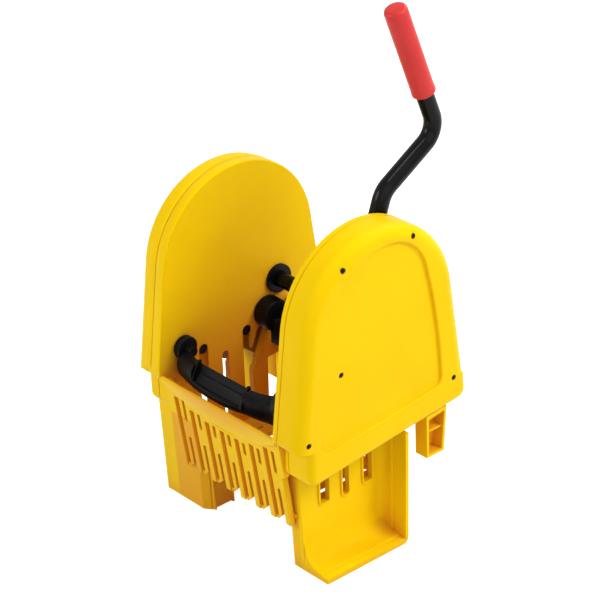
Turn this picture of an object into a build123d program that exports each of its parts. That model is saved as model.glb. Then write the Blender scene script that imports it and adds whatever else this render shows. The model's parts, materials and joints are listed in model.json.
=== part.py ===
from build123d import *
import math
import os

os.makedirs("parts", exist_ok=True)

# Side housings, millimetres: X left to right, Y front to back, Z up from the leg bottoms
wallIn = 106.0
wallThick = 6.0
wallOut = wallIn + wallThick
seamRight = 113.0
seamLeft = 129.5
coverOut = 153.0
coverThick = 3.5
rimThick = 4.0
archR = 118.0
archZ = 318.0
sideY = 136.5
sideZ = 192.0
shoulderDrop = 3.0
skirtY = 119.0
skirtLow = 151.7
skirtSlope = 0.106
edgeRound = 16.0
skirtRound = 10.0
noseRound = 12.0
tailRound = 14.0
shoulderRound = 6.0
grooveDeep = 0.8
grooveWide = 1.2
joinLap = 6.0

# Sunken panel of each cover
panelFront = -101.0
panelRear = 93.0
panelRise = 37.0
panelCorner = 12.0
panelDeep = 5.0
panelFloorRound = 2.2
panelRimRound = 2.4
panelSide = 15.4
panelCrown = 96.0
panelShoulder = 56.0
panelBrow = 32.0
panelBrowY = -84.0
panelCrownY = 10.0
panelBack = 50.0
panelBackY = 70.0

# Basket
basketY = -30.0
railPitch = 27.9
railCount = 8
railWide = 8.2
stripSet = 1.6
channelWide = 5.8
channelDeep = 5.5
sheetThick = 8.0
grilleY = -109.9
grilleZ = 64.0
grilleLean = 0.14
bandTopY = -135.0
bandTopZ = 196.0
rearTopZ = 230.0
bandThick = 5.0
bandLap = 6.0
bridgeLow = 113.5
bridgeHigh = 136.6
smileZ = 160.0
smileRise = 26.0
smileSpan = 100.0
headerTall = 4.0
slotWide = 7.4
slotRound = 3.0
footCut = 9.0
floorLow = 74.0
floorHigh = 80.0
grateSlot = 12.0
tabThick = 4.4
tabTall = 11.0
tabReach = 12.0
tabPast = 5.0

# Legs
legFrontLow = -98.7
legFrontHigh = -104.5
legTop = 140.0
legRearLow = 34.0
legRearHigh = 37.0
legRearTop = 150.0
legFlange = 5.0
legOut = coverOut
legCorner = 9.0
footThick = 7.0
stripIn = 93.0
stripDeep = 5.0
skirtGap = 1.0
carriageSet = 18.0
carriageRise = 10.0

# Left leg's inner corner
leftPlate = 8.0
leftTop = 70.0
leftInner = 72.5
leftChamferX = 82.5
leftChamferY = 6.5
leftSideRear = -56.0
leftSkin = 6.0
leftRibs = 4
leftRibPitch = 26.0
leftRibFirst = -64.0
leftRibThick = 7.0
leftRibIn = 94.0

# Rear posts on the covers
postSet = 3.0
postDeep = 20.0
postOut = coverOut - postSet
postIn = postOut - postDeep
postFront = 69.5
postRearLow = 98.4
postRearHigh = 103.5
postLow = 103.0
postWall = 4.0
postRibAt = 32.0
postRibThick = 3.0

# Drive, laid out in half-millimetre steps between the wall and the cover's sunken panel
stackStep = (coverOut - panelDeep - coverThick - wallOut) / 65
slotRimTall = 4.4 * stackStep
leverIn = wallOut + 6 * stackStep
leverOut = wallOut + 14 * stackStep
yokeIn = wallOut + 16 * stackStep
yokeOut = wallOut + 26 * stackStep
pinOut = wallOut + 29 * stackStep
gearIn = wallOut + 30 * stackStep
gearOut = wallOut + 48 * stackStep
shaftY = 58.6
shaftZ = 261.7
shaftR = 10.0
bushR = 13.0
runGap = 0.05
endGap = 0.5
toothModule = 2.0
sectorTeeth = 72
idlerTeeth = 16
sectorR = toothModule * sectorTeeth / 2
idlerR = toothModule * idlerTeeth / 2
idlerY = shaftY - sectorR - idlerR
idlerPinR = 5.0
idlerBossR = 8.0
rackY = idlerY - idlerR
backlash = 0.25
clipThick = 1.8
clipR = 14.0
idlerClipR = 8.5
pressure = math.radians(20)
swing = math.radians(78)
drop = sectorR * swing

# Press links: A pivots on the carriage, B is the shank through the wall track
pivotOff = 35.0
pivotZ = 207.0
linkLen = 36.2
linkRest = math.radians(152)
linkEnd = math.radians(90)
pinR = 6.0
pinGap = 0.08
rollerR = 6.6
slotHalf = 7.0
slotFootRound = 3.0
slotRim = 2.5
rimTop = 175.0
trackHalf = 6.6
slotFoot = 84.0
leverEndR = 10.0
leverPivotR = 10.5
yokeHalf = 11.0
centreSlotY = -31.0
centreSlotHalf = 5.0
centreSlotTop = 191.5
centreSlotFoot = 80.0
shoeGap = 0.6
shoeTall = 10.4
wallGap = 0.8

# Press bars
barMidY = -115.0
barMidZ = 210.0
barFlat = 45.0
barEndX = 95.0
barLip = 2.5
barBack = 4.0
barFloor = -8.0
pocketHalf = 39.5
finAt = 42.75
finThick = 5.0
finTall = 3.0
endPocket = (46.0, 60.0)
endPocketSet = 2.0
barRound = 1.5
hubSmall = 15.5
hubSmallIn = 95.0
hubLarge = 21.0
hubLargeIn = 82.0
hubOut = 105.5
shankIn = 84.0
shankPast = 2.0

# Handle
handleX = 92.0
tubeR = 11.1
tubeBore = 9.1
tubeFootAt = 20.0
gripR = 14.35
gripFoot = (128.9, 544.4)
gripTop = (82.1, 668.1)
gripCap = 10.0
gripCrown = 9.0
gripLip = 2.0
elbowZ = 497.0
elbowY = gripFoot[0] + (gripFoot[1] - elbowZ) * (gripFoot[0] - gripTop[0]) / (gripTop[1] - gripFoot[1])
handleBends = [(46.0, 408.0, 40.0), (59.6, 445.0, 30.0), (elbowY, elbowZ, 28.0)]
hubR = 19.0
hubHalf = 13.0
socketR = 13.2
socketLen = 62.0
boltAt = 46.0
boltR = 3.0
boltHeadR = 5.5
boltHeadTall = 3.0
flangeThick = 4.0

# Fasteners
screwRing = archR - 11.8
midScrewY = -63.0
midScrewDrop = 47.0
lowScrewRearY = 23.5
lowScrewRearZ = 8.0
lowScrewFrontY = 16.5
lowScrewFrontZ = 9.5
bossR = 5.5
bossSkin = 2.4
screwR = 2.3
screwLong = 44 * stackStep
headR = 3.3
headTall = 1.6
panHeadTall = 2.0
recessR = 3.6
recessDeep = 7.0
recessFloor = 2.5
crossHalf = 2.0
crossWide = 1.0
basketScrews = [(-110.0, 172.0), (50.0, 178.0)]


def onRing(degrees):
    a = math.radians(degrees)
    return screwRing * math.cos(a), archZ + screwRing * math.sin(a)


# Each cover screw: Y, Z and how far its face lies below the cover's outer face
coverScrews = [
    (*onRing(124), 0.0), (*onRing(62), 0.0), (sideY - lowScrewRearY, sideZ + lowScrewRearZ, 0.0),
    (midScrewY, archZ - midScrewDrop, panelDeep), (-sideY + lowScrewFrontY, sideZ + lowScrewFrontZ, 0.0)]


def rodX(x0, x1, y, z, r):
    return Location((x0, y, z), (0, 90, 0)) * Cylinder(
        r, x1 - x0, align=(Align.CENTER, Align.CENTER, Align.MIN))


def block(x0, x1, y0, y1, z0, z1):
    return Location(((x0 + x1) / 2, (y0 + y1) / 2, (z0 + z1) / 2)) * Box(x1 - x0, y1 - y0, z1 - z0)


def slabX(face, x0, x1):
    return extrude(Plane.YZ.offset(x0) * face, amount=x1 - x0)


def polyFace(points):
    return make_face(Polyline(*points, close=True))


def prismX(points, x0, x1):
    return slabX(polyFace(points), x0, x1)


def flip(shape):
    return mirror(shape, about=Plane.YZ)


def mirrorBasket(shape):
    return mirror(shape, about=Plane.XZ.offset(-basketY))


def turnAboutBasket(shape):
    return Location((0, 2 * basketY, 0)) * (Rot(0, 0, 180) * shape)


def roundCorners(face, rounds):
    for (y, z), r in rounds:
        face = fillet(face.vertices().sort_by_distance((y, z, 0))[0], r)
    return face


def skirtEdge(y):
    return skirtLow + skirtSlope * y


# Housing outline in Y and Z: arch, tangent sides, set-back front skirt, sloped lower edge
def tangentAngle():
    reach = math.hypot(sideY, sideZ - archZ)
    return math.atan2(sideZ - archZ, sideY) + math.acos(archR / reach)


def housingFace():
    a = tangentAngle()
    right = (archR * math.cos(a), archZ + archR * math.sin(a))
    left = (-right[0], right[1])
    tail, nose = (sideY, skirtEdge(sideY)), (-skirtY, skirtEdge(-skirtY))
    notch, shoulder = (-skirtY, sideZ - shoulderDrop), (-sideY, sideZ)
    rest = Polyline(right, (sideY, sideZ), tail, nose, notch, shoulder, left)
    face = make_face([ThreePointArc(left, (0, archZ + archR), right)] + rest.edges())
    return roundCorners(face, [(tail, tailRound), (nose, noseRound), (shoulder, shoulderRound),
                               (notch, shoulderDrop - 0.5)])


housing = housingFace()


# Press travel
def travelB(t):
    a = linkRest + (linkEnd - linkRest) * t
    return pivotOff - linkLen * math.cos(a), pivotZ - drop * t + linkLen * math.sin(a)


def trackFace(half):
    steps = 14
    path = [travelB(i / steps) for i in range(steps + 1)]
    left, right = [], []
    for i, (u, z) in enumerate(path):
        u0, z0 = path[max(i - 1, 0)]
        u1, z1 = path[min(i + 1, steps)]
        n = math.hypot(u1 - u0, z1 - z0)
        nu, nz = -(z1 - z0) / n, (u1 - u0) / n
        left.append((u + nu * half, z + nz * half))
        right.append((u - nu * half, z - nz * half))
    face = polyFace(left + right[::-1])
    for u, z in (path[0], path[-1]):
        face += Pos(u, z) * Circle(half)
    return face


def rearTrack(half):
    return Pos(basketY, 0) * trackFace(half)


def frontTrack(half):
    return mirror(Pos(-basketY, 0) * trackFace(half), about=Plane.YZ)


def stadium(y, z0, z1, half):
    body = Pos(y, (z0 + z1) / 2) * Rectangle(2 * half, z1 - z0 - 2 * half)
    return body + Pos(y, z0 + half) * Circle(half) + Pos(y, z1 - half) * Circle(half)


def footedSlot(y, z0, z1, half, corner):
    body = Pos(y, (z0 + z1 - half) / 2) * Rectangle(2 * half, z1 - half - z0)
    low = [v for v in body.vertices() if v.Y < z0 + 0.01]
    return fillet(low, corner) + Pos(y, z1 - half) * Circle(half)


pivotFront = basketY - pivotOff
pivotRear = basketY + pivotOff
slotTop = pivotZ + slotHalf


# Walls: plate, rim, tray-shaped leg, bosses
def legFront(z):
    return legFrontLow + (legFrontHigh - legFrontLow) * z / legTop


def legRear(z):
    return legRearLow + (legRearHigh - legRearLow) * z / legRearTop


def legPlate(x0, x1, top, thick):
    return prismX([(legFrontLow, 0), (legFront(top), top), (legFront(top) + thick, top),
                   (legFrontLow + thick, 0)], x0, x1)


def upLeg(face, z0, z1, lean):
    return Solid.extrude((Plane.XY.offset(z0) * face).faces()[0], Vector(0, lean * (z1 - z0), z1 - z0))


frontLean = (legFrontHigh - legFrontLow) / legTop
legHigh = legRearTop + footThick
legFace = polyFace([(legFrontLow, 0), (legFrontHigh, legTop), (legFrontHigh, legHigh),
                    (legRear(legHigh), legHigh), (legRearLow, 0)])
legFace = roundCorners(legFace, [((legRearLow, 0), legCorner)])
trayInner = polyFace([(2 * legFrontHigh, footThick), (legRear(footThick) - legFlange, footThick),
                      (legRear(legHigh + 1) - legFlange, legHigh + 1), (2 * legFrontHigh, legHigh + 1)])
aboveSkirt = polyFace([(2 * legFrontHigh, skirtEdge(2 * legFrontHigh) - skirtGap),
                       (sideY, skirtEdge(sideY) - skirtGap), (sideY, 2 * sideZ),
                       (2 * legFrontHigh, 2 * sideZ)])
carriageFront = -skirtY + carriageSet
carriageRear = legRearLow - legFlange
carriageTop = skirtEdge(legRearHigh) + carriageRise


def carriageGap(x0, x1):
    return block(x0, x1, carriageFront, carriageRear, legTop - 20, carriageTop)


def wallBase(seam):
    wall = slabX(housing + legFace, wallIn, wallOut)
    rim = slabX(housing - offset(housing, -rimThick), wallOut, seam)
    wall += rim - carriageGap(wallOut, seam + 1)
    wall += slabX(legFace - trayInner - aboveSkirt, wallOut, legOut)
    for y, z, sunk in coverScrews:
        wall += rodX(wallOut - 1, coverOut - sunk - recessDeep - recessFloor, y, z, bossR)
    wall += rodX(wallOut - 1, gearIn - endGap, idlerY, shaftZ, idlerBossR)
    rims = footedSlot(pivotFront, slotFoot - slotRim, rimTop, slotHalf + slotRim, slotFootRound + slotRim)
    rims += footedSlot(pivotRear, slotFoot - slotRim, rimTop, slotHalf + slotRim, slotFootRound + slotRim)
    rims += stadium(centreSlotY, centreSlotFoot - slotRim, rimTop, centreSlotHalf + slotRim)
    wall += slabX(rims, wallOut, wallOut + slotRimTall)
    slots = footedSlot(pivotFront, slotFoot, slotTop, slotHalf, slotFootRound)
    slots += footedSlot(pivotRear, slotFoot, slotTop, slotHalf, slotFootRound)
    slots += stadium(centreSlotY, centreSlotFoot, centreSlotTop, centreSlotHalf)
    slots += frontTrack(trackHalf) + rearTrack(trackHalf)
    wall -= slabX(slots, wallIn - 1, wallOut + slotRimTall + 1)
    wall -= rodX(wallIn - 1, wallOut + 1, shaftY, shaftZ, bushR)
    for y, z, sunk in coverScrews:
        wall -= rodX(coverOut - sunk - recessDeep - screwLong, coverOut, y, z, screwR)
    wall -= rodX(wallOut, gearOut, idlerY, shaftZ, idlerPinR)
    for y, z in basketScrews:
        wall -= rodX(wallIn - 1, wallOut + 1, y, z, screwR)
    return wall


rightWall = wallBase(seamRight) + legPlate(stripIn, wallOut, legTop, stripDeep)

frontAt = legFrontLow
cornerFace = polyFace([
    (wallIn + 1, frontAt), (leftChamferX, frontAt), (leftInner, frontAt + leftChamferY),
    (leftInner, leftSideRear), (leftInner + leftSkin, leftSideRear),
    (leftInner + leftSkin, frontAt + leftChamferY + leftSkin / 2),
    (leftChamferX + leftSkin / 2, frontAt + leftSkin), (wallIn + 1, frontAt + leftSkin)])
leftLeg = legPlate(wallIn, legOut, legTop, leftPlate) + upLeg(cornerFace, 0, leftTop, frontLean)
for i in range(leftRibs):
    y = leftRibFirst + i * leftRibPitch
    leftLeg += block(leftRibIn, wallIn + 1, y, y + leftRibThick, 0, leftTop)
leftLeg += block(leftInner, wallIn + 1, leftSideRear - leftSkin, leftSideRear, 0, leftTop - 2)
leftWall = flip(wallBase(seamLeft) + leftLeg)


# Covers
def coverBody(inset, x0, x1, rounding, lowRound):
    a = tangentAngle()
    r = archR - inset
    foot = skirtLow - edgeRound
    right = (r * math.cos(a), archZ + r * math.sin(a))
    low = (right[0] + (right[1] - foot) * math.tan(a), foot)
    left, lowLeft = (-right[0], right[1]), (-low[0], low[1])
    crown = ThreePointArc(left, (0, archZ + r), right)
    face = make_face([crown] + Polyline(right, low, lowLeft, left).edges())
    dome = slabX(face, x0, x1)
    outer = [e for e in dome.edges() if abs(e.center().X - x1) < 0.01 and e.center().Z > foot + 1]
    dome = fillet(outer, min(rounding, 0.8 * (x1 - x0)))
    dome &= slabX(offset(housing, -inset) if inset else housing, x0, x1)
    dome &= block(x0 - 1, x1 + 1, -2 * sideY, 2 * sideY, sideZ - shoulderDrop + inset, 2 * archZ)
    front, rear = -skirtY + inset, sideY - inset
    rise = inset * math.hypot(1, skirtSlope)
    skirt = prismX([(front, sideZ + joinLap), (front, skirtEdge(front) + rise),
                    (rear, skirtEdge(rear) + rise), (rear - 2, sideZ + joinLap)], x0, x1)
    corners = [e for e in skirt.edges().filter_by(Axis.X) if e.center().Z < sideZ]
    skirt = fillet([e for e in corners if e.center().Y < 0], noseRound - inset)
    corners = [e for e in skirt.edges().filter_by(Axis.X) if e.center().Z < sideZ and e.center().Y > rear - 1]
    skirt = fillet(corners, tailRound - inset)
    outer = [e for e in skirt.edges() if abs(e.center().X - x1) < 0.01 and e.center().Z < sideZ + joinLap - 1]
    return dome + fillet(outer, min(lowRound, 0.8 * (x1 - x0)))


def panelFace():
    lowRear = (panelRear, skirtEdge(panelRear) + panelRise)
    lowFront = (panelFront, skirtEdge(panelFront) + panelRise)
    stops = [(panelFront, archZ - panelShoulder), (panelBrowY, archZ + panelBrow),
             (panelCrownY, archZ + panelCrown), (panelBackY, archZ + panelBack),
             (panelRear, lowRear[1] + panelSide)]
    edges, heading = [], (0, 1)
    for here, there in zip(stops, stops[1:]):
        arc = TangentArc(here, there, tangent=heading)
        heading = arc % 1
        edges.append(arc)
    face = make_face(edges + Polyline(stops[-1], lowRear, lowFront, stops[0]).edges())
    return roundCorners(face, [(lowRear, panelCorner), (lowFront, panelCorner)])


panel = panelFace()


def coverShell(seam):
    shell = coverBody(0, seam, coverOut, edgeRound, skirtRound)
    innerRound, innerLow = edgeRound - coverThick, skirtRound - coverThick
    shell -= coverBody(coverThick, seam - 1, coverOut - coverThick, innerRound, innerLow)
    shell -= slabX(housing - offset(housing, -grooveDeep), seam - 1, seam + grooveWide)
    shell -= carriageGap(seam - 1, coverOut - coverThick)
    floorX = coverOut - panelDeep
    shell += slabX(offset(panel, coverThick), floorX - coverThick, coverOut - coverThick / 2)
    dish = slabX(panel, floorX, coverOut + 1)
    dish = fillet([e for e in dish.edges() if abs(e.center().X - floorX) < 0.01], panelFloorRound)
    shell -= dish
    outline = (Plane.YZ.offset(coverOut) * panel).faces()[0].outer_wire()
    shell = fillet([e for e in shell.edges() if outline.distance_to(e.center()) < 0.01], panelRimRound)
    lap = coverThick / 2
    post = prismX([(postFront, postLow), (postFront, skirtEdge(postFront) + lap),
                   (postRearHigh, skirtEdge(postRearHigh) + lap), (postRearLow, postLow)], postIn, postOut)
    front, rearLow, rearHigh = postFront + postWall, postRearLow - postWall, postRearHigh - postWall
    post -= prismX([(front, postLow + postWall), (front, skirtEdge(postFront) - postWall),
                    (rearHigh, skirtEdge(postRearHigh) - postWall), (rearLow, postLow + postWall)],
                   postIn + postWall, postOut + 1)
    rib = postLow + postRibAt
    post += block(postIn + 1, postOut - postWall, postFront + 1, postRearLow, rib, rib + postRibThick)
    shell += post - slabX(housing, wallIn, seam)
    for y, z, sunk in coverScrews:
        face = coverOut - sunk
        seat = face - recessDeep - recessFloor
        shell += rodX(seat, face - coverThick + 0.5, y, z, recessR + bossSkin)
        shell -= rodX(face - recessDeep, coverOut + 1, y, z, recessR)
        shell -= rodX(seat - 1, face, y, z, screwR)
    return shell


rightCover = coverShell(seamRight)
leftCover = flip(coverShell(seamLeft))

screws = Part()
for y, z, sunk in coverScrews:
    head = coverOut - sunk - recessDeep
    one = rodX(head - screwLong, head, y, z, screwR) + rodX(head, head + headTall, y, z, headR)
    for dy, dz in ((crossHalf, crossWide / 2), (crossWide / 2, crossHalf)):
        one -= block(head + headTall / 2, head + headTall + 1, y - dy, y + dy, z - dz, z + dz)
    screws += one

# Basket
lean = math.atan(grilleLean)
face0 = Plane(origin=(0, grilleY, grilleZ), x_dir=(1, 0, 0), z_dir=(0, -math.cos(lean), -math.sin(lean)))


def upSlope(z):
    return (z - grilleZ) / math.cos(lean)


def smile(x):
    return upSlope(smileZ + smileRise * (x / smileSpan) ** 2)


def slopeSolid(face, z0, z1):
    return extrude(face0.offset(z0) * face, amount=z1 - z0)


def slopeBox(x0, x1, v0, v1, z0, z1):
    return slopeSolid(Pos((x0 + x1) / 2, (v0 + v1) / 2) * Rectangle(x1 - x0, v1 - v0), z0, z1)


def slopeSlot(x0, x1, v0, v1, z0, z1):
    shape = Pos((x0 + x1) / 2, (v0 + v1) / 2) * Rectangle(x1 - x0, v1 - v0)
    return slopeSolid(fillet(shape.vertices(), min(slotRound, 0.45 * (x1 - x0))), z0, z1)


rails = [(i - (railCount - 1) / 2) * railPitch for i in range(railCount)]
gaps = [(a + railWide / 2, b - railWide / 2) for a, b in zip(rails, rails[1:])]
grilleHalf = rails[-1] + railWide / 2


def grille(bandPoints):
    curve = ThreePointArc((-wallIn, smile(wallIn)), (0, smile(0)), (wallIn, smile(wallIn)))
    high = upSlope(bridgeHigh)
    rest = Polyline((wallIn, smile(wallIn)), (wallIn, high), (grilleHalf, high), (grilleHalf, 0),
                    (-grilleHalf, 0), (-grilleHalf, high), (-wallIn, high), (-wallIn, smile(wallIn)))
    outline = make_face([curve] + rest.edges())
    sheet = slopeSolid(outline, -sheetThick, 0)
    band = prismX(bandPoints, -wallIn, wallIn)
    band = fillet(band.edges().filter_by(Axis.X).sort_by(Axis.Z)[-2:], bandThick * 0.4)
    sheet += band - slopeSolid(outline, 0, 2 * sheetThick)
    for x0, x1 in gaps:
        top = smile(min(abs(x0), abs(x1))) - headerTall
        sheet -= slopeBox(x0, x1, -5, top, -stripSet, 2)
        sheet -= slopeSlot(x0, x0 + channelWide, footCut / 2, top, -channelDeep, 2)
        sheet -= slopeSlot(x1 - slotWide, x1, upSlope(bridgeHigh), top, -2 * sheetThick, 2)
        sheet -= slopeSlot(x1 - slotWide, x1, -2 * footCut, upSlope(bridgeLow), -2 * sheetThick, 2)
        edge = x1 - slotWide
        corner = polyFace([(edge - footCut, -1), (edge + 1, -1), (edge + 1, footCut)])
        sheet -= slopeSolid(corner, -2 * sheetThick, 2)
    return sheet


bandFoot = smileZ - bandLap
bandFootY = grilleY - grilleLean * (bandFoot - grilleZ) + stripSet
bandLine = [(bandTopY, bandTopZ), (bandTopY + bandThick, bandTopZ), (bandFootY + bandThick, bandFoot),
            (bandFootY, bandFoot)]
rearLine = [(bandTopY, rearTopZ), (bandTopY + bandThick, rearTopZ), (bandTopY + bandThick, bandTopZ),
            (bandFootY + bandThick, bandFoot), (bandFootY, bandFoot), (bandTopY, bandTopZ)]


def tabs(screw, outward):
    y0, y1 = sorted((screw[0] + outward * tabReach, screw[0] - outward * tabPast))
    both = Part()
    for s in (-1, 1):
        x0, x1 = sorted((s * (wallIn - tabThick), s * wallIn))
        tab = block(x0, x1, y0, y1, screw[1] - tabTall / 2, screw[1] + tabTall / 2)
        both += tab - rodX(x0 - 1, x1 + 1, *screw, screwR)
    return both


frontGrille = grille(bandLine) + tabs(basketScrews[0], -1)
rearGrille = mirrorBasket(grille(rearLine)) + tabs(basketScrews[1], 1)

floorFront = grilleY - grilleLean * (floorLow - grilleZ) + sheetThick / math.cos(lean)
floorRear = 2 * basketY - floorFront
floorGrate = block(-wallIn, wallIn, floorFront - 1, floorRear + 1, floorLow, floorHigh)
for x0, x1 in gaps:
    slot = Pos((x0 + x1) / 2, basketY) * Rectangle(grateSlot, floorRear - floorFront - 2 * grateSlot)
    slot = fillet(slot.vertices(), grateSlot / 2 - 0.5)
    floorGrate -= extrude(Plane.XY.offset(floorLow - 1) * slot, amount=floorHigh - floorLow + 2)
for shape in (frontGrille, rearGrille, leftWall, rightWall):
    floorGrate -= shape

basketFix = Part()
for s in (-1, 1):
    for y, z in basketScrews:
        one = rodX(wallIn - tabThick, wallOut, y, z, screwR)
        one += rodX(wallOut, wallOut + panHeadTall, y, z, headR + 1)
        basketFix += one if s > 0 else flip(one)


# Gears
def involute(base, r):
    a = math.acos(min(1.0, base / r))
    return math.tan(a) - a


def gearOutline(teeth, keep, phase):
    r = toothModule * teeth / 2
    base = r * math.cos(pressure)
    root, tip = r - 1.25 * toothModule, r + toothModule
    half = (math.pi * toothModule / 2 - backlash) / (2 * r) + involute(base, r)
    start = max(base, root + 0.05)
    radii = [start + (tip - start) * i / 4 for i in range(5)]
    points = []
    for k in range(teeth):
        mid = phase + 2 * math.pi * k / teeth
        if not keep(mid):
            continue
        up = [(q, mid - half + involute(base, q)) for q in radii]
        down = [(q, mid + half - involute(base, q)) for q in radii][::-1]
        for q, a in [(root, up[0][1])] + up + down + [(root, down[-1][1])]:
            points.append((q * math.cos(a), q * math.sin(a)))
    return points


sectorFrom, sectorTo = 171, 267
sectorHub = 2 * shaftR
sectorRim = sectorR - 14
spokeWide = 10.0
sectorTeethLine = gearOutline(sectorTeeth, lambda a: math.radians(sectorFrom) < a < math.radians(sectorTo),
                              math.pi / sectorTeeth)
sectorFace = polyFace([(0, 0)] + sectorTeethLine) + Circle(sectorHub)
window = polyFace([(0, 0)] + [(sectorRim * math.cos(math.radians(a)), sectorRim * math.sin(math.radians(a)))
                              for a in range(sectorFrom + 10, sectorTo - 8, 7)])
window -= Circle(sectorHub + 7)
window -= Rot(0, 0, (sectorFrom + sectorTo) / 2) * Rectangle(4 * sectorR, spokeWide)
sectorFace -= window
sectorFace -= Circle(shaftR)
rightSector = slabX(Pos(shaftY, shaftZ) * sectorFace, gearIn, gearOut)

idlerFace = polyFace(gearOutline(idlerTeeth, lambda a: True, 0.0)) - Circle(idlerPinR + runGap)
rightIdler = slabX(Pos(idlerY, shaftZ) * idlerFace, gearIn, gearOut)
idlerPin = rodX(wallOut, gearOut + clipThick + 1, idlerY, shaftZ, idlerPinR)
idlerClip = rodX(gearOut + endGap, gearOut + clipThick, idlerY, shaftZ, idlerClipR)
idlerClip -= rodX(gearOut, gearOut + clipThick + 1, idlerY, shaftZ, idlerPinR)

# Carriage yokes with their racks
rackBack = rackY - 10.6
rackFoot = pivotZ - 4
tall = 0.9 * toothModule
deep = 1.25 * toothModule
pitch = math.pi * toothModule
rackTeeth = int((drop + 4.25 * pitch) / pitch)
rackLine = [(rackBack, rackFoot), (rackY - deep, rackFoot)]
for k in range(rackTeeth):
    zc = shaftZ + (k - 1.5) * pitch
    half = pitch / 4 - backlash / 2
    rackLine += [(rackY - deep, zc - half - deep * math.tan(pressure)),
                 (rackY + tall, zc - half + tall * math.tan(pressure)),
                 (rackY + tall, zc + half - tall * math.tan(pressure)),
                 (rackY - deep, zc + half + deep * math.tan(pressure))]
rackTop = rackLine[-1][1] + deep
rackLine += [(rackY - deep, rackTop), (rackBack, rackTop)]
rightYoke = prismX(rackLine, yokeIn, gearOut)
cross = Pos((pivotFront + pivotRear) / 2, pivotZ) * Rectangle(pivotRear - pivotFront, 2 * yokeHalf)
cross += Pos(pivotFront, pivotZ) * Circle(yokeHalf) + Pos(pivotRear, pivotZ) * Circle(yokeHalf)
rightYoke += slabX(cross, yokeIn, yokeOut)
gusset = [(rackY - deep, pivotZ + yokeHalf - 1), (rackY - deep, pivotZ + 3 * yokeHalf),
          (rackY + 2.4 * yokeHalf, pivotZ + yokeHalf - 1)]
rightYoke += prismX(gusset, yokeIn, yokeOut)
shoeHalf = centreSlotHalf - shoeGap
shoeTop = centreSlotTop - shoeGap
rightYoke += slabX(stadium(centreSlotY, shoeTop - shoeTall, shoeTop, shoeHalf), wallIn + wallGap, yokeIn + 1)
rightYoke += block(leverOut + endGap, yokeOut, centreSlotY - shoeHalf, centreSlotY + shoeHalf,
                   shoeTop - shoeTall + 2, pivotZ)
rightPins = Part()
for y in (pivotFront, pivotRear):
    rightYoke -= rodX(yokeIn - 1, yokeOut + 1, y, pivotZ, pinR)
    rightPins += rodX(wallIn + wallGap, leverIn - endGap + 0.1, y, pivotZ, rollerR)
    rightPins += rodX(leverIn - endGap, pinOut, y, pivotZ, pinR)

# Press bars
bOff, bZ = travelB(0)
frontB = basketY - bOff
bend = 2 * math.atan((frontB - barMidY) / (barEndX - barFlat))
bendR = (barEndX - barFlat) / math.sin(bend)


def arcPoint(a, side):
    return (side * (barFlat + bendR * math.sin(a)), barMidY + bendR * (1 - math.cos(a)), barMidZ)


barPath = Wire([Edge.make_three_point_arc(arcPoint(bend, -1), arcPoint(bend / 2, -1), arcPoint(0, -1)),
                Edge.make_line(arcPoint(0, -1), arcPoint(0, 1)),
                Edge.make_three_point_arc(arcPoint(0, 1), arcPoint(bend / 2, 1), arcPoint(bend, 1))])
barPlane = Plane(origin=arcPoint(bend, -1), x_dir=(math.sin(bend), math.cos(bend), 0),
                 z_dir=(math.cos(bend), -math.sin(bend), 0))
barLine = [(-9, -14), (-9, -3), (1, 14), (10, 14), (10, -16), (-2, -16)]
barTop = barLine[2][1]
finLine = [(-9, -10), (-9.6, -2), (0, barTop + finTall), (10, barTop + finTall), (10, -10)]
section = polyFace(barLine)
frontBar = sweep(barPlane * fillet(section.vertices(), barRound), path=barPath)


def barPocket(x0, x1, shift):
    front, back = barLine[0][0] + barLip + barMidY + shift, barLine[3][0] - barBack + barMidY + shift
    low, high = barMidZ + barFloor, barMidZ + 2 * barTop
    return prismX([(front, low), (back, low), (back, high), (front, high)], x0, x1)


frontBar -= barPocket(-pocketHalf, pocketHalf, 0)
for s in (-1, 1):
    frontBar -= barPocket(*sorted((s * endPocket[0], s * endPocket[1])), endPocketSet)
    fin = [(barMidY + y, barMidZ + z) for y, z in finLine]
    frontBar += prismX(fin, s * finAt - finThick / 2, s * finAt + finThick / 2)
frontBar += rodX(-hubOut, -hubSmallIn, frontB, bZ, hubSmall)
frontBar += rodX(hubLargeIn, hubOut, frontB, bZ, hubLarge)
for s in (-1, 1):
    x0, x1 = sorted((s * shankIn, s * (leverOut + shankPast)))
    frontBar += rodX(x0, x1, frontB, bZ, pinR)
rearBar = turnAboutBasket(frontBar)

leverFace = Pos(frontB, bZ) * Circle(leverEndR) + Pos(pivotFront, pivotZ) * Circle(leverPivotR)
leverTilt = math.degrees(math.atan2(bZ - pivotZ, frontB - pivotFront))
leverFace += Pos((frontB + pivotFront) / 2, (bZ + pivotZ) / 2) * (
    Rot(0, 0, leverTilt) * Rectangle(linkLen, 1.8 * leverEndR))
leverFace -= Pos(frontB, bZ) * Circle(pinR)
leverFace -= Pos(pivotFront, pivotZ) * Circle(pinR + pinGap)
frontLever = slabX(leverFace, leverIn, leverOut)
frontLevers = frontLever + flip(frontLever)
rearLevers = turnAboutBasket(frontLevers)

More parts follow.
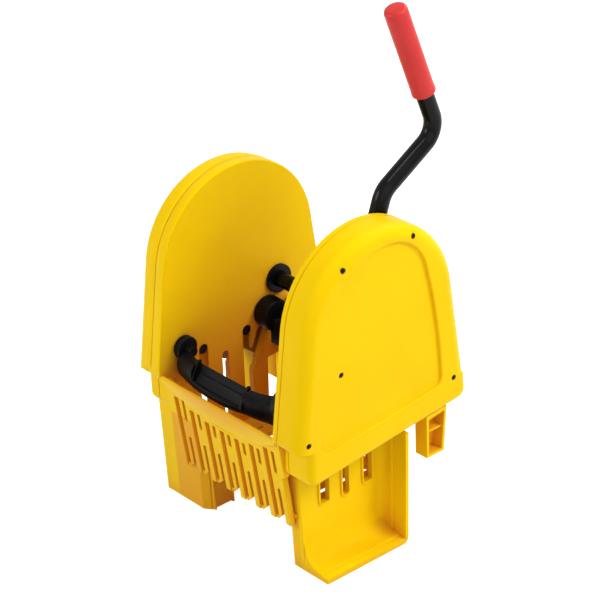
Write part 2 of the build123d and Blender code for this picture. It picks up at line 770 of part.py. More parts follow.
# Cross shaft, bushes, clips
crossShaft = rodX(-gearOut - clipThick - 1.2, gearOut + clipThick + 1.2, shaftY, shaftZ, shaftR)
flange = rodX(-wallIn + endGap, -wallIn + endGap + flangeThick, shaftY, shaftZ, hubR)
flange -= rodX(-wallIn, -wallIn + 2 * flangeThick, shaftY, shaftZ, shaftR)
flange = fillet(flange.edges().filter_by(GeomType.CIRCLE).sort_by(Axis.X)[-1:], 0.3 * flangeThick)
rightBush = rodX(wallIn, gearIn - endGap - 0.1, shaftY, shaftZ, bushR)
rightBush -= rodX(wallIn - 1, gearIn, shaftY, shaftZ, shaftR + runGap)
ring = rodX(gearOut, gearOut + clipThick, shaftY, shaftZ, clipR)
ring -= rodX(gearOut - 1, gearOut + clipThick + 1, shaftY, shaftZ, shaftR)
clips = ring + flip(ring)

# Handle
toBend = math.hypot(handleBends[0][0] - shaftY, handleBends[0][1] - shaftZ)
dirY, dirZ = (handleBends[0][0] - shaftY) / toBend, (handleBends[0][1] - shaftZ) / toBend
tubeFoot = (shaftY + tubeFootAt * dirY, shaftZ + tubeFootAt * dirZ)
gripLen = math.hypot(gripTop[0] - gripFoot[0], gripTop[1] - gripFoot[1])
gripDir = ((gripTop[0] - gripFoot[0]) / gripLen, (gripTop[1] - gripFoot[1]) / gripLen)
tubeEnd = (gripTop[0] - gripCap * gripDir[0], gripTop[1] - gripCap * gripDir[1])


def bentPath(start, bends, end):
    edges, here = [], start
    stops = [start] + [(y, z) for y, z, r in bends] + [end]
    for i, (y, z, r) in enumerate(bends):
        py, pz = stops[i]
        ny, nz = stops[i + 2]
        a = math.hypot(y - py, z - pz)
        b = math.hypot(ny - y, nz - z)
        uy, uz = (y - py) / a, (z - pz) / a
        wy, wz = (ny - y) / b, (nz - z) / b
        turn = math.acos(uy * wy + uz * wz)
        cut = r * math.tan(turn / 2)
        p0 = (y - uy * cut, z - uz * cut)
        p1 = (y + wy * cut, z + wz * cut)
        by, bz = wy - uy, wz - uz
        sag = r * (1 / math.cos(turn / 2) - 1) / math.hypot(by, bz)
        mid = (y + by * sag, z + bz * sag)
        edges.append(Edge.make_line((handleX, *here), (handleX, *p0)))
        edges.append(Edge.make_three_point_arc((handleX, *p0), (handleX, *mid), (handleX, *p1)))
        here = p1
    edges.append(Edge.make_line((handleX, *here), (handleX, *end)))
    return Wire(edges)


tubePlane = Plane(origin=(handleX, *tubeFoot), x_dir=(1, 0, 0), z_dir=(0, dirY, dirZ))
tubeFace = Circle(tubeR) - Circle(tubeBore)
handleTube = sweep(tubePlane * tubeFace, path=bentPath(tubeFoot, handleBends, tubeEnd))
socketPlane = Plane(origin=(handleX, shaftY, shaftZ), x_dir=(1, 0, 0), z_dir=(0, dirY, dirZ))
handleHub = rodX(handleX - hubHalf, wallIn - endGap, shaftY, shaftZ, hubR)
handleHub += extrude(socketPlane * Circle(socketR), amount=socketLen)
handleHub -= extrude(tubePlane * Circle(tubeR), amount=socketLen)
handleHub -= rodX(handleX - 2 * hubHalf, wallIn, shaftY, shaftZ, shaftR)
boltY, boltZ = shaftY + boltAt * dirY, shaftZ + boltAt * dirZ
boltHole = rodX(handleX - 2 * socketR, handleX + 2 * socketR, boltY, boltZ, boltR)
handleHub -= boltHole
handleTube -= boltHole
handleBolt = rodX(handleX - socketR, handleX + socketR, boltY, boltZ, boltR)
handleBolt += rodX(handleX - socketR - boltHeadTall, handleX - socketR, boltY, boltZ, boltHeadR)
gripPlane = Plane(origin=(handleX, *gripFoot), x_dir=(1, 0, 0), z_dir=(0, *gripDir))
handleGrip = gripPlane * Cylinder(gripR, gripLen, align=(Align.CENTER, Align.CENTER, Align.MIN))
handleGrip = fillet(handleGrip.edges().filter_by(GeomType.CIRCLE).sort_by(Axis.Z)[-1], gripCrown)
handleGrip = fillet(handleGrip.edges().filter_by(GeomType.CIRCLE).sort_by(Axis.Z)[0], gripLip)
handleGrip -= gripPlane * Cylinder(tubeR, gripLen - gripCap, align=(Align.CENTER, Align.CENTER, Align.MIN))

pieces = {
    "left_wall": leftWall, "right_wall": rightWall, "left_cover": leftCover, "right_cover": rightCover,
    "left_cover_screws": flip(screws), "right_cover_screws": screws,
    "front_grille": frontGrille, "rear_grille": rearGrille, "floor_grate": floorGrate,
    "basket_screws": basketFix,
    "left_bush": flip(rightBush), "right_bush": rightBush, "cross_shaft": crossShaft, "shaft_flange": flange,
    "shaft_clips": clips, "left_sector": flip(rightSector), "right_sector": rightSector,
    "left_idler": flip(rightIdler), "right_idler": rightIdler,
    "left_idler_pin": flip(idlerPin), "right_idler_pin": idlerPin,
    "left_idler_clip": flip(idlerClip), "right_idler_clip": idlerClip,
    "left_yoke": flip(rightYoke), "right_yoke": rightYoke,
    "left_yoke_pins": flip(rightPins), "right_yoke_pins": rightPins,
    "front_bar": frontBar, "rear_bar": rearBar, "front_levers": frontLevers, "rear_levers": rearLevers,
    "handle_hub": handleHub, "handle_tube": handleTube, "handle_bolt": handleBolt, "handle_grip": handleGrip,
}

# The bounding box's middle goes to Y zero
boxes = [shape.bounding_box() for shape in pieces.values()]
frameShift = -(max(b.max.Y for b in boxes) + min(b.min.Y for b in boxes)) / 2
print("frame shift", round(frameShift, 4), "carriage drop", round(drop, 3))
for name, shape in pieces.items():
    export_step(Location((0, frameShift, 0)) * shape, f"parts/{name}.step")
    print(name, round(shape.volume / 1000, 2), "cm3", len(shape.solids()))
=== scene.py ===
import bpy
import bmesh
import json
import math
from mathutils import Matrix, Vector


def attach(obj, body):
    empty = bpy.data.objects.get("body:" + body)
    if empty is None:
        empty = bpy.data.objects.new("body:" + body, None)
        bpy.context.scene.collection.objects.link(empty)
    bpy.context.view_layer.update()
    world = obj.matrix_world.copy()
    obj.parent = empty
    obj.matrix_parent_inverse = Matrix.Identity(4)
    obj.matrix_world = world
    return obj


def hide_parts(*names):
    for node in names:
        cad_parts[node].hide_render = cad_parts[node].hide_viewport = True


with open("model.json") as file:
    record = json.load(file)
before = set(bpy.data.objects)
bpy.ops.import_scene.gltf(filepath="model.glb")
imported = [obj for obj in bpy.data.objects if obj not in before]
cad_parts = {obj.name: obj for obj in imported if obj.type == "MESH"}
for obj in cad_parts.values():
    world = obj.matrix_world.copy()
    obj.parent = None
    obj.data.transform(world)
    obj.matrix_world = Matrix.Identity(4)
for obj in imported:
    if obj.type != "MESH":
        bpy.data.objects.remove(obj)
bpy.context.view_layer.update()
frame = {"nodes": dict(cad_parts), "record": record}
nodes = frame["nodes"]
print("frame loaded:", len(nodes), "pieces")


# shader helpers
def startMaterial(title):
    material = bpy.data.materials.new(title)
    material.use_nodes = True
    tree = material.node_tree
    return material, tree, tree.nodes["Principled BSDF"]


def addNoise(tree, place, scale, detail, rough=0.55, stretch=None):
    if stretch:
        turn = tree.nodes.new("ShaderNodeMapping")
        turn.inputs["Scale"].default_value = stretch
        tree.links.new(place, turn.inputs["Vector"])
        place = turn.outputs["Vector"]
    noise = tree.nodes.new("ShaderNodeTexNoise")
    noise.inputs["Scale"].default_value = scale
    noise.inputs["Detail"].default_value = detail
    noise.inputs["Roughness"].default_value = rough
    tree.links.new(place, noise.inputs["Vector"])
    return noise.outputs["Fac"]


def addRamp(tree, value, spots, colours):
    ramp = tree.nodes.new("ShaderNodeValToRGB")
    tree.links.new(value, ramp.inputs["Fac"])
    for element, spot, colour in zip(ramp.color_ramp.elements, spots, colours):
        element.position = spot
        element.color = (*colour, 1.0)
    return ramp.outputs["Color"]


def addRange(tree, value, low, high, fromLow=0.3, fromHigh=0.7):
    spread = tree.nodes.new("ShaderNodeMapRange")
    spread.inputs["From Min"].default_value = fromLow
    spread.inputs["From Max"].default_value = fromHigh
    spread.inputs["To Min"].default_value = low
    spread.inputs["To Max"].default_value = high
    tree.links.new(value, spread.inputs["Value"])
    return spread.outputs["Result"]


def addBump(tree, height, strength, depth, below=None):
    bump = tree.nodes.new("ShaderNodeBump")
    bump.inputs["Strength"].default_value = strength
    bump.inputs["Distance"].default_value = depth
    tree.links.new(height, bump.inputs["Height"])
    if below is not None:
        tree.links.new(below, bump.inputs["Normal"])
    return bump.outputs["Normal"]


def addSoftEdge(tree, radius, samples=6):
    edge = tree.nodes.new("ShaderNodeBevel")
    edge.samples = samples
    edge.inputs["Radius"].default_value = radius
    return edge.outputs["Normal"]


def addShade(tree, reach, samples=8):
    shade = tree.nodes.new("ShaderNodeAmbientOcclusion")
    shade.samples = samples
    shade.inputs["Distance"].default_value = reach
    return shade.outputs["AO"]


def joinMath(tree, kind, first, *others):
    for value in others:
        join = tree.nodes.new("ShaderNodeMath")
        join.operation = kind
        for socket, side in zip(join.inputs, (first, value)):
            if isinstance(side, float):
                socket.default_value = side
            else:
                tree.links.new(side, socket)
        first = join.outputs["Value"]
    return first


def addBand(tree, value, low, high, soft=0.0006):
    rise = addRange(tree, value, 0.0, 1.0, low - soft, low)
    fall = addRange(tree, value, 1.0, 0.0, high, high + soft)
    return joinMath(tree, "MULTIPLY", rise, fall)


# places of the colour sockets on a mix node
mixSocket = {"share": 0, "first": 6, "second": 7, "result": 2}


def mixColours(tree, share, first, second):
    blend = tree.nodes.new("ShaderNodeMix")
    blend.data_type = "RGBA"
    tree.links.new(share, blend.inputs[mixSocket["share"]])
    tree.links.new(first, blend.inputs[mixSocket["first"]])
    blend.inputs[mixSocket["second"]].default_value = (*second, 1.0)
    return blend.outputs[mixSocket["result"]]


# painted shade: a browner tone mixed in by ambient occlusion and by place, in the basket, as painted shadow
# on the left leg's inner half, on the apron and in nooks off the right seam
def addPaintedShade(tree, place, colour, look):
    axes = tree.nodes.new("ShaderNodeSeparateXYZ")
    tree.links.new(place, axes.inputs["Vector"])
    x, y, z = (axes.outputs[axis] for axis in "XYZ")
    # painted shade in the basket: ambient occlusion across the basket's width
    shut = addRange(tree, addShade(tree, look["reach"]), 1.0, 0.0, *look["span"])
    basket = joinMath(tree, "MULTIPLY", shut, addBand(tree, x, *look["inner"]))
    # painted shadow on the left leg's inner half
    leg = joinMath(tree, "MULTIPLY", addBand(tree, x, *look["legAcross"]), addBand(tree, z, *look["legUp"]),
                   look["legShare"])
    # painted shade on the apron, growing upward from the smile curve
    smile = joinMath(tree, "ADD", joinMath(tree, "MULTIPLY", x, x, look["smileCurve"]), look["smileFoot"])
    over = joinMath(tree, "SUBTRACT", z, smile)
    apron = joinMath(tree, "MULTIPLY", addRange(tree, over, 0.0, look["apronShare"], 0.0, look["apronFade"]),
                     addBand(tree, x, *look["apronAcross"]), addBand(tree, y, *look["apronDeep"]),
                     addBand(tree, z, *look["apronUp"]))
    # painted shade in nooks by a short ambient occlusion, lifted off the right seam
    nook = addRange(tree, addShade(tree, look["nookReach"]), look["nookShare"], 0.0, *look["nookSpan"])
    seam = joinMath(tree, "MULTIPLY", addBand(tree, x, *look["seamAcross"]), look["seamShare"])
    nook = joinMath(tree, "MULTIPLY", nook, joinMath(tree, "SUBTRACT", 1.0, seam))
    return mixColours(tree, joinMath(tree, "MAXIMUM", basket, leg, apron, nook), colour, look["paintedShadeTone"])


# a finish: cloudy tones, wiped roughness and fine grain, each noise by its scale and detail
def buildFinish(title, look):
    material, tree, shader = startMaterial(title)
    place = tree.nodes.new("ShaderNodeTexCoord").outputs["Object"]
    colour = addRamp(tree, addNoise(tree, place, *look["cloud"]), look["stops"], look["tones"])
    # painted shade, where the look gives one
    if "paintedShadeTone" in look:
        colour = addPaintedShade(tree, place, colour, look)
    tree.links.new(colour, shader.inputs["Base Color"])
    wipe = addNoise(tree, place, *look["wipe"])
    tree.links.new(addRange(tree, wipe, *look["rough"]), shader.inputs["Roughness"])
    grain = addNoise(tree, place, *look["grain"])
    soft = addSoftEdge(tree, look["edge"]) if look["edge"] else None
    tree.links.new(addBump(tree, grain, *look["bump"], soft), shader.inputs["Normal"])
    for socket, value in look["sockets"].items():
        shader.inputs[socket].default_value = value
    return material


# moulded yellow plastic
yellowLook = {
    "cloud": (7.0, 3.0), "stops": (0.30, 0.62), "tones": ((0.94, 0.595, 0.003), (0.98, 0.64, 0.003)),
    # painted shade: the browner tone, the occlusion reach and span, the basket band, the left leg's painted
    # shadow, the apron's smile curve, and the nooks except along the right seam
    "paintedShadeTone": (0.84, 0.36, 0.022), "reach": 0.25, "span": (0.22, 0.74), "inner": (-0.1283, 0.1066),
    "legAcross": (-0.1283, -0.066), "legUp": (-0.01, 0.142), "legShare": 0.7,
    "smileFoot": 0.160, "smileCurve": 2.6, "apronShare": 0.75, "apronFade": 0.03,
    "apronAcross": (-0.1054, 0.1054), "apronDeep": (-0.2, -0.118), "apronUp": (0.1, 0.1966),
    "nookReach": 0.04, "nookSpan": (0.30, 0.78), "nookShare": 0.85,
    "seamAcross": (0.1128, 0.1145), "seamShare": 0.9,
    "wipe": (26.0, 5.0, 0.6, (1.0, 1.0, 0.25)), "rough": (0.34, 0.46),
    "grain": (420.0, 2.0), "bump": (0.05, 0.0004), "edge": 0.0012,
    "sockets": {"Specular IOR Level": 0.18, "IOR": 1.30, "Specular Tint": (1.0, 0.80, 0.16, 1.0)},
}

# black moulded press bars, hub and flange
blackLook = {
    "cloud": (22.0, 5.0), "stops": (0.35, 0.75), "tones": ((0.0025, 0.0025, 0.003), (0.006, 0.006, 0.007)),
    "wipe": (60.0, 4.0), "rough": (0.34, 0.5), "grain": (900.0, 2.0), "bump": (0.12, 0.0003), "edge": 0.0010,
    "sockets": {"Specular IOR Level": 0.09},
}

# black powder coat on the tube, shaft and cranks
coatLook = {
    "cloud": (30.0, 4.0), "stops": (0.35, 0.8), "tones": ((0.003, 0.003, 0.0032), (0.007, 0.007, 0.0075)),
    "wipe": (90.0, 4.0), "rough": (0.12, 0.19), "grain": (700.0, 2.0), "bump": (0.04, 0.0003), "edge": 0.0,
    "sockets": {"Specular IOR Level": 0.10},
}

# red vinyl grip
gripLook = {
    "cloud": (40.0, 5.0), "stops": (0.3, 0.75), "tones": ((0.63, 0.030, 0.028), (0.67, 0.038, 0.035)),
    "wipe": (120.0, 4.0), "rough": (0.30, 0.40), "grain": (1100.0, 3.0), "bump": (0.06, 0.0004), "edge": 0.0,
    "sockets": {"Specular IOR Level": 0.42, "IOR": 1.35},
}

# zinc plated fasteners, and a dark steel for the guide pins and the cover screws, whose dark heads are
# painted shade for their counterbores
zincLook = {
    "cloud": (300.0, 4.0), "stops": (0.3, 0.7), "tones": ((0.30, 0.30, 0.31), (0.52, 0.52, 0.53)),
    "wipe": (500.0, 3.0), "rough": (0.28, 0.45), "grain": (500.0, 3.0), "bump": (0.1, 0.0002), "edge": 0.0,
    "sockets": {"Metallic": 1.0},
}
darkSteelLook = {**zincLook, "tones": ((0.010, 0.010, 0.010), (0.030, 0.029, 0.028)), "rough": (0.40, 0.55)}

# nylon gears and bushes, and a dark brown nylon for the carriages, the brown being painted shade for where
# they show through the slots
nylonLook = {
    "cloud": (50.0, 4.0), "stops": (0.3, 0.7), "tones": ((0.62, 0.58, 0.47), (0.74, 0.71, 0.62)),
    "wipe": (200.0, 4.0), "rough": (0.42, 0.6), "grain": (200.0, 4.0), "bump": (0.12, 0.0003), "edge": 0.0,
    "sockets": {},
}
shadedYokeLook = {**nylonLook, "tones": ((0.16, 0.070, 0.020), (0.24, 0.110, 0.032))}

finishes = {
    "yellow_plastic": buildFinish("yellowMoulding", yellowLook),
    "black_plastic": buildFinish("blackMoulding", blackLook),
    "black_steel": buildFinish("blackCoat", coatLook),
    "red_grip": buildFinish("redVinyl", gripLook),
    "zinc_steel": buildFinish("zincPlate", zincLook),
    "drive_nylon": buildFinish("naturalNylon", nylonLook),
}
# dark steel: painted shade on the cover screw heads; the yoke pins use it too
darkSteelAndShade = buildFinish("darkSteelAndShade", darkSteelLook)
# painted shade: the carriages' dark brown
shadedYokeNylon = buildFinish("shadedYokeNylon", shadedYokeLook)
# pieces with rounded geometry of their own need no soft edge
rimMoulding = buildFinish("rimMoulding", {**yellowLook, "edge": 0.0})
barMoulding = buildFinish("barMoulding", {**blackLook, "edge": 0.0})
# painted shade: the dark cover screw heads and the dark brown carriages (yokes); the yoke pins are dark as
# well
special = {
    "left_cover_screws": darkSteelAndShade, "right_cover_screws": darkSteelAndShade, "left_yoke_pins": darkSteelAndShade,
    "right_yoke_pins": darkSteelAndShade, "left_yoke": shadedYokeNylon, "right_yoke": shadedYokeNylon,
}
slotOf = {part["node"]: part["material_slot"] for part in frame["record"]["subparts"]}
for name, piece in nodes.items():
    piece.data.materials.clear()
    piece.data.materials.append(special.get(name, finishes[slotOf[name]]))
print("finishes set:", len(finishes))

# piece helpers: work in millimetres about the part's own datum, then go to the shared frame
millimetre = 0.001
depthShift = -7.84


def addFace(work, spots):
    return work.faces.new([work.verts.new(spot) for spot in spots])


def stretchFace(work, face, travel):
    grown = bmesh.ops.extrude_face_region(work, geom=[face])
    moved = [item for item in grown["geom"] if isinstance(item, bmesh.types.BMVert)]
    bmesh.ops.translate(work, verts=moved, vec=travel)


def addRod(work, x0, x1, y, z, radius, sides):
    place = Matrix.Translation(((x0 + x1) / 2, y, z)) @ Matrix.Rotation(math.pi / 2, 4, "Y")
    made = bmesh.ops.create_cone(work, cap_ends=True, segments=sides, radius1=radius, radius2=radius,
                                 depth=abs(x1 - x0), matrix=place)
    return made["verts"]


def loftRings(work, rings):
    face = addFace(work, rings[0])
    for now, target in zip(rings, rings[1:]):
        grown = bmesh.ops.extrude_face_region(work, geom=[face])
        face = next(item for item in grown["geom"] if isinstance(item, bmesh.types.BMFace))
        for vert in face.verts:
            nearest = min(range(len(now)), key=lambda k: (vert.co - Vector(now[k])).length)
            vert.co = target[nearest]


def softenEdges(work, edges, radius, steps):
    bmesh.ops.bevel(work, geom=edges, offset=radius, offset_type="OFFSET", segments=steps, profile=0.5,
                    affect="EDGES", clamp_overlap=True, material=-1)


def middleOf(edge):
    return (edge.verts[0].co + edge.verts[1].co) / 2


def spanOf(edge):
    return edge.verts[0].co - edge.verts[1].co


def mergeWork(work, other):
    spare = bpy.data.meshes.new("spare")
    other.to_mesh(spare)
    other.free()
    work.from_mesh(spare)
    bpy.data.meshes.remove(spare)


def finishPiece(name, work, finish, body, stands=None, flip=False, crease=35.0):
    place = Matrix.Translation((0, depthShift * millimetre, 0)) @ Matrix.Scale(millimetre, 4)
    if flip:
        place = place @ Matrix.Diagonal((-1, 1, 1, 1))
    bmesh.ops.transform(work, matrix=place, verts=work.verts)
    bmesh.ops.recalc_face_normals(work, faces=work.faces)
    for face in work.faces:
        face.smooth = True
    mesh = bpy.data.meshes.new(name)
    work.to_mesh(mesh)
    work.free()
    mesh.set_sharp_from_angle(angle=math.radians(crease))
    mesh.materials.append(finish)
    piece = bpy.data.objects.new(name, mesh)
    bpy.context.collection.objects.link(piece)
    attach(piece, body)
    if stands:
        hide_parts(stands)
    return piece


# coves in the leg trays: each line runs from the web to the tray's edge, its third point the rounded corner
legCove = {
    "web": 112.0, "floor": 7.0, "flangeY": 29.0, "flangeLean": 0.02, "top": 152.0, "sink": 0.3, "lap": 1.0,
    "floorLine": [(0, 33), (1.0, 27), (1.0, 2.0), (30.0, 2.0)], "floorTip": 31.6, "floorRound": 24.0,
    "floorSteps": 10,
    "flangeLine": [(0, -16.5), (0.8, -12.6), (0.8, -1.8), (17.6, -1.8), (18.8, 0), (0, 0)],
    "flangeRound": 9.5, "flangeSteps": 8,
}


def addCove(work, spots, travel, radius, steps):
    cove = bmesh.new()
    stretchFace(cove, addFace(cove, spots), travel)
    inside = Vector(spots[2]) + Vector(travel) / 2
    corner = min(cove.edges, key=lambda edge: (middleOf(edge) - inside).length)
    softenEdges(cove, [corner], radius, steps)
    mergeWork(work, cove)


def buildLegCove(name, look, front, flip):
    work = bmesh.new()
    sink = look["sink"]
    root, base, back = look["web"] - sink, look["floor"] - sink, look["flangeY"] + sink
    spots = [(root + dx, front, look["floor"] + dz) for dx, dz in look["floorLine"]]
    spots += [(root + look["floorTip"], front, base), (root, front, base)]
    depth = look["flangeY"] + look["lap"] - front
    addCove(work, spots, (0, depth, 0), look["floorRound"], look["floorSteps"])
    rise = look["top"] - base
    spots = [(root + dx, back + dy, base) for dx, dy in look["flangeLine"]]
    addCove(work, spots, (0, look["flangeLean"] * rise, rise), look["flangeRound"], look["flangeSteps"])
    finishPiece(name, work, finishes["yellow_plastic"], "frame", flip=flip)


buildLegCove("right_leg_cove", legCove, -99.0, False)
buildLegCove("left_leg_cove", legCove, -92.0, True)

# ribs on the inner side of the left leg
legRib = {
    "inner": -73.2, "outer": -68.2, "thick": 4.2, "taper": 0.8, "front": (-91.0, -62.0), "low": 0.4,
    "tall": 62.0, "lean": -0.0414, "edge": 1.2, "steps": 3,
}


def buildLegRibs(look):
    work = bmesh.new()
    inner, outer, low, tall = (look[key] for key in ("inner", "outer", "low", "tall"))
    for y in look["front"]:
        back = y + look["thick"]
        face = addFace(work, [(inner, y, low), (outer, y + look["taper"], low),
                              (outer, back - look["taper"], low), (inner, back, low)])
        stretchFace(work, face, (0, look["lean"] * tall, tall))
    uprights = [edge for edge in work.edges
                if abs(spanOf(edge).z) > tall / 2 and middleOf(edge).x > (inner + outer) / 2]
    softenEdges(work, uprights, look["edge"], look["steps"])
    finishPiece("left_leg_ribs", work, finishes["yellow_plastic"], "frame")


buildLegRibs(legRib)

# rim of the left housing: two raised bands with the seam's groove between them, each line by X and height
leftRim = {
    "radius": 118.0, "centreZ": 318.0, "sideY": 136.5, "sideZ": 192.0, "tailZ": 167.5, "steps": 72,
    "fade": [(6.2, -0.4), (8.2, 0.1), (10.8, 0.55), (14.4, 1.0)], "crease": 50.0,
    "outer": [(-139.5, -2.4), (-139.5, -1.6), (-137.0, -0.35), (-134.5, 0.4), (-131.5, 0.85), (-128.0, 1.0),
              (-122.7, 1.0), (-122.3, 0.7), (-122.3, -1.2)],
    "inner": [(-121.2, -1.2), (-121.2, 0.7), (-120.8, 1.0), (-108.2, 1.0), (-107.0, 0.7), (-106.2, 0.0),
              (-105.95, -1.0), (-105.95, -2.0)],
}


# stations from the front shoulder over the arch to the tail: Y, Z, outward direction and share of the height
def rimPath(look):
    radius, centreZ, sideY, sideZ = (look[key] for key in ("radius", "centreZ", "sideY", "sideZ"))
    reach = math.hypot(sideY, sideZ - centreZ)
    touch = math.atan2(sideZ - centreZ, sideY) + math.acos(radius / reach)
    sweep = math.pi - 2 * touch
    turns = [touch + sweep * k / look["steps"] for k in range(look["steps"], -1, -1)]
    ways = [(math.cos(turn), math.sin(turn)) for turn in turns]
    arch = [(radius * outY, centreZ + radius * outZ, outY, outZ, 1.0) for outY, outZ in ways]
    outFront, outRear = arch[0][2:4], arch[-1][2:4]
    slope = (arch[0][0] + sideY) / (arch[0][1] - sideZ)
    foot = [(slope * rise - sideY, sideZ + rise, *outFront, share) for rise, share in look["fade"]]
    tail = [(sideY, sideZ, *outRear, 1.0), (sideY, look["tailZ"], 1.0, 0.0, 1.0)]
    return foot + arch + tail


def buildRim(name, look, line):
    work = bmesh.new()
    rings = []
    for y, z, outY, outZ, share in rimPath(look):
        lifts = [(x, h * share if h > 0 else h) for x, h in line]
        rings.append([(x, y + outY * h, z + outZ * h) for x, h in lifts])
    loftRings(work, rings)
    finishPiece(name, work, rimMoulding, "frame", crease=look["crease"])


buildRim("left_rim_outer", leftRim, leftRim["outer"])
buildRim("left_rim_inner", leftRim, leftRim["inner"])

# pan screws of the covers, their dark heads set 1 mm under the face as painted shade of the counterbores,
# each by its Y, its Z and how far its panel is sunk
coverScrew = {
    "spots": [(-59.39, 406.04, 0), (49.86, 411.77, 0), (113, 200, 0), (-63, 271, 5), (-120, 201.5, 0)],
    "face": 153.0, "seat": 7.0, "shank": 2.3, "long": 22.0, "shankSides": 20, "lap": 0.1,
    "head": 3.4, "headSides": 32, "below": 1.0, "driveWide": 1.3, "driveDeep": 1.6,
}


def buildCoverScrews(name, look, flip):
    work = bmesh.new()
    for y, z, sunk in look["spots"]:
        seat = look["face"] - sunk - look["seat"]
        addRod(work, seat - look["long"], seat + look["lap"], y, z, look["shank"], look["shankSides"])
        # the dark head, 1 mm under the face, is painted shade for the counterbore
        head = addRod(work, seat, seat + look["seat"] - look["below"], y, z, look["head"], look["headSides"])
        sides = {face for vert in head for face in vert.link_faces}
        top = max(sides, key=lambda face: face.calc_center_median().x)
        bmesh.ops.inset_individual(work, faces=[top], thickness=look["head"] - look["driveWide"], depth=0.0)
        stretchFace(work, top, (-look["driveDeep"], 0, 0))
        bmesh.ops.delete(work, geom=[top], context="FACES_ONLY")
    finishPiece(name + "_heads", work, darkSteelAndShade, "frame", stands=name, flip=flip)


buildCoverScrews("right_cover_screws", coverScrew, False)
buildCoverScrews("left_cover_screws", coverScrew, True)

# press bars: a bowed trough between two gussets, its arms and hubs, with sections about the bar's middle
pressBar = {
    "midY": -115.0, "midZ": 210.0, "bowAt": -16.0, "bow": (0.0018, 0.003), "bowMost": 18.0,
    "trough": (-60.0, 32.0), "change": 0.01, "dip": 5.0, "dipAbove": 5.0, "sag": 5.0, "sagBelow": -8.0,
    "leftArm": [-97, -92, -86, -80, -74, -68, -63], "middle": [-52, -42, -30, -16, 0, 12, 22],
    "rightArm": [37, 44, 52, 60, 68, 76, 86],
    "bowl": [(9.5, -16), (10, 11), (7.8, 13.5), (4.6, 2.5), (-5.6, -7.5), (-8.4, -5.2), (-10.8, -6.5),
             (-10.8, -12), (-7.4, -18), (2, -19.5)],
    "arm": [(9.5, -16), (10, 11), (7.0, 14), (0, 13), (-6.4, 8.5), (-9.6, 3), (-10.8, -4), (-10.6, -11),
            (-7.2, -17.5), (2, -19)],
    "front": (0, 0, 0, 0, 0.35, 0.8, 1, 1, 0.9, 0.4), "edge": 2.2, "edgeSteps": 3, "shortRun": 1.0,
    "fin": [(9.4, -11), (9.6, 17), (6, 17), (2, 13.5), (-6.4, -2.5), (-8, -8)],
    "finThick": 4.0, "finEdge": 0.7, "finSteps": 2,
    "hubY": -96.96, "hubZ": 224.0, "hubOut": 105.5, "smallHub": 15.5, "smallIn": 95.0, "largeHub": 21.0,
    "largeIn": 82.0, "hubSides": 64, "hubEdge": 2.4, "hubSteps": 4,
    "shank": 6.0, "shankIn": 84.0, "shankOut": 120.0, "shankSides": 32, "turnY": -30.0, "crease": 62.0,
}


def barBow(look, x):
    lean = look["bow"][0] if x < look["bowAt"] else look["bow"][1]
    return min(lean * (x - look["bowAt"]) ** 2, look["bowMost"])


def barRing(look, x):
    low, high = look["trough"]
    inBowl = low <= x <= high
    line = look["bowl"] if inBowl else look["arm"]
    bow = barBow(look, x)
    atEdge = barBow(look, low if x < low else high)
    share = 0.0 if inBowl else (bow - atEdge) / (look["bowMost"] - atEdge)
    along = max(0.0, (x - high) / (look["rightArm"][-1] - high))
    dip, sag = look["dip"] * math.sin(math.pi * along), look["sag"] * min(1.0, 2 * along)
    ring = []
    for (y, z), pull in zip(line, look["front"]):
        shift = bow * pull if inBowl else look["bowMost"] * share + atEdge * pull * (1 - share)
        drop = dip if z > look["dipAbove"] else sag if z < look["sagBelow"] else 0.0
        ring.append((x, look["midY"] + y + shift, look["midZ"] + z - drop))
    return ring


def addBarBody(work, look):
    low, high = look["trough"]
    stations = [*look["leftArm"], low - look["change"], low, *look["middle"], high, high + look["change"],
                *look["rightArm"]]
    loftRings(work, [barRing(look, x) for x in stations])
    runs = [edge for edge in work.edges
            if abs(spanOf(edge).x) > look["shortRun"] and low <= middleOf(edge).x <= high]
    softenEdges(work, runs, look["edge"], look["edgeSteps"])


def addBarFin(work, look, at):
    fin = bmesh.new()
    start = at - look["finThick"] / 2
    plate = addFace(fin, [(start, look["midY"] + y, look["midZ"] + z) for y, z in look["fin"]])
    stretchFace(fin, plate, (look["finThick"], 0, 0))
    softenEdges(fin, list(fin.edges), look["finEdge"], look["finSteps"])
    mergeWork(work, fin)


def addBarHub(work, look, x0, x1, radius):
    hub = addRod(work, x0, x1, look["hubY"], look["hubZ"], radius, look["hubSides"])
    length = abs(x1 - x0)
    rims = {edge for vert in hub for edge in vert.link_edges if abs(spanOf(edge).x) < length / 2}
    softenEdges(work, list(rims), look["hubEdge"], look["hubSteps"])


def buildBar(name, look, body, stands, turned):
    work = bmesh.new()
    addBarBody(work, look)
    for at in look["trough"]:
        addBarFin(work, look, at)
    addBarHub(work, look, -look["hubOut"], -look["smallIn"], look["smallHub"])
    addBarHub(work, look, look["largeIn"], look["hubOut"], look["largeHub"])
    for side in (-1, 1):
        x0, x1 = sorted((side * look["shankIn"], side * look["shankOut"]))
        addRod(work, x0, x1, look["hubY"], look["hubZ"], look["shank"], look["shankSides"])
    if turned:
        about = Vector((0, look["turnY"], 0))
        bmesh.ops.rotate(work, verts=work.verts, cent=about, matrix=Matrix.Rotation(math.pi, 3, "Z"))
    finishPiece(name, work, barMoulding, body, stands=stands, crease=look["crease"])


buildBar("front_bar_form", pressBar, "front_press", "front_bar", False)
buildBar("rear_bar_form", pressBar, "rear_press", "rear_bar", True)

